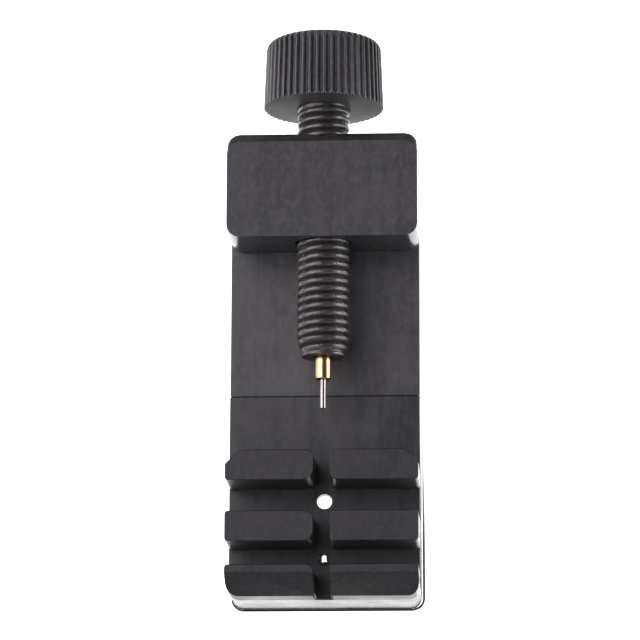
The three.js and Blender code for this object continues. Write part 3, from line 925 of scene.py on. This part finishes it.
def make_collar(material):
    """The brass collar, chamfered at its mouth."""
    low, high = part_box("pin_collar")
    radius = (high.x - low.x) / 2 / MM
    front = low.y / MM
    back = high.y / MM
    profile = [
        (COLLAR_INNER, back),
        (COLLAR_INNER, front + COLLAR_CHAMFER),
        (COLLAR_INNER + COLLAR_CHAMFER, front),
        (radius - COLLAR_CHAMFER, front),
        (radius, front + COLLAR_CHAMFER),
        (radius, back),
        (COLLAR_INNER, back),
    ]
    centre, _ = screw_axis()
    obj = turned("pin_collar_turned", profile, centre, material)
    place(obj, "spindle", "brass", "pin_collar")


def make_pin(material):
    """The steel push pin with a slightly rounded tip."""
    low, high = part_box("push_pin")
    radius = (high.x - low.x) / 2 / MM
    tip = low.y / MM
    back = high.y / MM
    profile = [(0, tip)]
    for angle in quarter_turn(PIN_ROUND_STEPS):
        inset = PIN_ROUND * (1 - math.sin(angle))
        profile.append((radius - inset, tip + PIN_ROUND * (1 - math.cos(angle))))
    profile += [(radius, back), (0, back)]
    centre, _ = screw_axis()
    obj = turned("push_pin_drawn", profile, centre, material)
    place(obj, "pin_carrier", "steel", "push_pin")


def dress_moulding(node, name, body, slot, material):
    """A cleaned copy of a moulded CAD node, shaded as the flat faces and fillets it has."""
    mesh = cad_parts[node].data.copy()
    mesh.name = name
    tidy_mesh(mesh, MOULDED_FLAT)
    mesh.materials.clear()
    mesh.materials.append(material)
    obj = link_object(name, mesh)
    smooth(obj, MOULDED_SMOOTH)
    place(obj, body, slot, node)


def flash_rim(opening):
    """Where the rays from the flash's middle through those points meet the wall of its hole."""
    rim = []
    for point in opening:
        ray = (point - FLASH_MIDDLE).normalized()
        along = ray.dot(FLASH_MIDDLE)
        reach = math.sqrt(along * along + FLASH_RADIUS**2 - FLASH_MIDDLE.length_squared) - along
        rim.append(FLASH_MIDDLE + ray * reach)
    return rim


def make_hole_flash(material):
    """The skin of moulding flash across the smaller drop hole, with its oblong opening."""
    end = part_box("strap_holder")[0].y / MM
    hole = Vector((0, end + FLASH_FROM_END, 0))
    opening = [Vector((x, y, 0)) for x, y in FLASH_OPENING]
    rim = flash_rim(opening)
    points = []
    rings = []
    for height in FLASH_HEIGHTS:
        for outline in (opening, rim):
            rings.append(range(len(points), len(points) + len(outline)))
            points += [(hole + point + Vector((0, 0, height))) * MM for point in outline]
    low_opening, low_rim, high_opening, high_rim = rings
    faces = tube_faces([low_opening, low_rim, high_rim, high_opening, low_opening])
    obj = add_object("hole_flash", points, faces, material)
    place(obj, "platform", "holder_plastic")


def make_floor():
    """The table."""
    signs = ((-1, -1), (1, -1), (1, 1), (-1, 1))
    corners = [(x * FLOOR_HALF, y * FLOOR_HALF, -FLOOR_DROP) for x, y in signs]
    mesh = bpy.data.meshes.new("table")
    mesh.from_pydata(corners, [], [(0, 1, 2, 3)])
    mesh.materials.append(floor_material())
    floor = link_object("table", mesh)


def room_colour(graph, lean):
    """The room's light by how many radians a direction leans to the right of straight up."""
    quarter = math.pi / 2
    inputs = {"Value": lean, "From Min": -quarter, "From Max": quarter}
    share = graph.add("ShaderNodeMapRange", inputs).outputs["Result"]
    ramp = graph.add("ShaderNodeValToRGB", {"Fac": share})
    stops = ramp.color_ramp.elements
    while len(stops) < len(ROOM_BY_DEGREE):
        stops.new(0.5)
    for stop, (degrees, level) in zip(stops, ROOM_BY_DEGREE):
        stop.position = degrees / 180 + 0.5
        stop.color = grey(level, LIGHT_COLOUR)
    return ramp.outputs["Color"]


def make_room():
    """A pale room: bright to the left and low on the right, dim overhead, paler at the horizon."""
    graph = Graph(bpy.data.worlds.new("room"), "Background")
    parts = graph.parts(graph.add("ShaderNodeTexCoord").outputs["Generated"])
    lean = graph.math("ARCTAN2", parts["X"], parts["Z"])
    above = graph.band(parts["Z"], 0.0, ROOM_HORIZON)
    to_end = graph.math("ABSOLUTE", parts["Y"])
    graph.shade(
        Color=graph.mix(above, (1, 1, 1, 1), room_colour(graph, lean)),
        Strength=graph.band(to_end, *ROOM_END_BAND, ROOM_SIDE_GAIN, ROOM_END_GAIN),
    )
    bpy.context.scene.world = graph.owner


def make_soft_box(name, spot, size, watts):
    """One soft box, turned to the tool and hidden from the camera."""
    light = bpy.data.lights.new(name, "AREA")
    light.shape = "RECTANGLE"
    light.size, light.size_y = size
    light.energy = watts
    light.color = LIGHT_COLOUR
    lamp = link_object(name, light)
    lamp.location = spot
    lamp.rotation_euler = (SOFT_BOX_AIM - spot).to_track_quat("-Z", "Y").to_euler()
    lamp.visible_camera = False


def camera_axes():
    """The camera's own axes: +Y up in the picture, turned by its small roll."""
    forward = (CAMERA_TARGET - CAMERA_PLACE).normalized()
    right = forward.cross(Vector((0, 1, 0))).normalized()
    up = right.cross(forward)
    turned_right = math.cos(CAMERA_ROLL) * right + math.sin(CAMERA_ROLL) * up
    turned_up = math.cos(CAMERA_ROLL) * up - math.sin(CAMERA_ROLL) * right
    return Matrix((turned_right, turned_up, -forward)).transposed().to_4x4()


def make_camera():
    """The camera at the photograph's place, with plain colours in the picture."""
    data = bpy.data.cameras.new("camera")
    data.lens = CAMERA_LENS
    data.sensor_width = CAMERA_SENSOR
    data.clip_start, data.clip_end = CAMERA_CLIP
    camera = link_object("camera", data)
    camera.matrix_world = Matrix.Translation(CAMERA_PLACE) @ camera_axes()
    bpy.context.scene.camera = camera
    bpy.context.scene.view_settings.view_transform = "Standard"


make_camera()
make_room()
for box_name, box in SOFT_BOXES.items():
    make_soft_box(box_name, *box)
make_floor()

# The last argument of each plastic says where shade is painted on it; on the holder it also draws the
# mould's gate mark
frame_plastic = moulded_plastic(
    "frame_plastic_worn_and_shaded",
    level=0.037,
    roughness=0.42,
    scratched=0.6,
    edge=0.14,
    polish=0.2,
    dull=dull_head,
    painted_shade_and_gate=head_painted_shade,
)
holder_plastic = moulded_plastic(
    "holder_plastic_worn_and_shaded",
    level=0.020,
    roughness=0.42,
    scratched=0.4,
    edge=0.14,
    polish=0.2,
    dull=dull_holder,
    painted_shade_and_gate=holder_shade_and_gate,
)
knob_plastic = moulded_plastic(
    "knob_plastic_worn_and_shaded",
    level=0.036,
    roughness=0.13,
    scratched=0.3,
    edge=0.05,
    polish=0.0,
    dull=dull_knob_face,
    painted_shade_and_gate=flute_painted_shade,
)
screw_plastic = greased_plastic("screw_plastic_greased")
brass = bare_metal(
    "brass_turned",
    pale=(0.62, 0.42, 0.20, 1),
    dark=(0.45, 0.28, 0.12, 1),
    roughness=0.12,
    tool_marks=TURNED_RINGS,
)
steel = bare_metal(
    "steel_drawn",
    pale=(0.34, 0.32, 0.31, 1),
    dark=(0.22, 0.21, 0.20, 1),
    roughness=0.10,
    tool_marks=DRAWN_LINES,
)

dress_moulding("frame", "frame_moulding", "base", "frame_plastic", frame_plastic)
dress_moulding("strap_holder", "strap_holder_moulding", "platform", "holder_plastic", holder_plastic)
dress_moulding("height_screw", "height_screw_moulding", "height_adjuster", "holder_plastic", holder_plastic)
make_hole_flash(holder_plastic)
make_lead_screw(screw_plastic)
make_knob(knob_plastic)
make_collar(brass)
make_pin(steel)
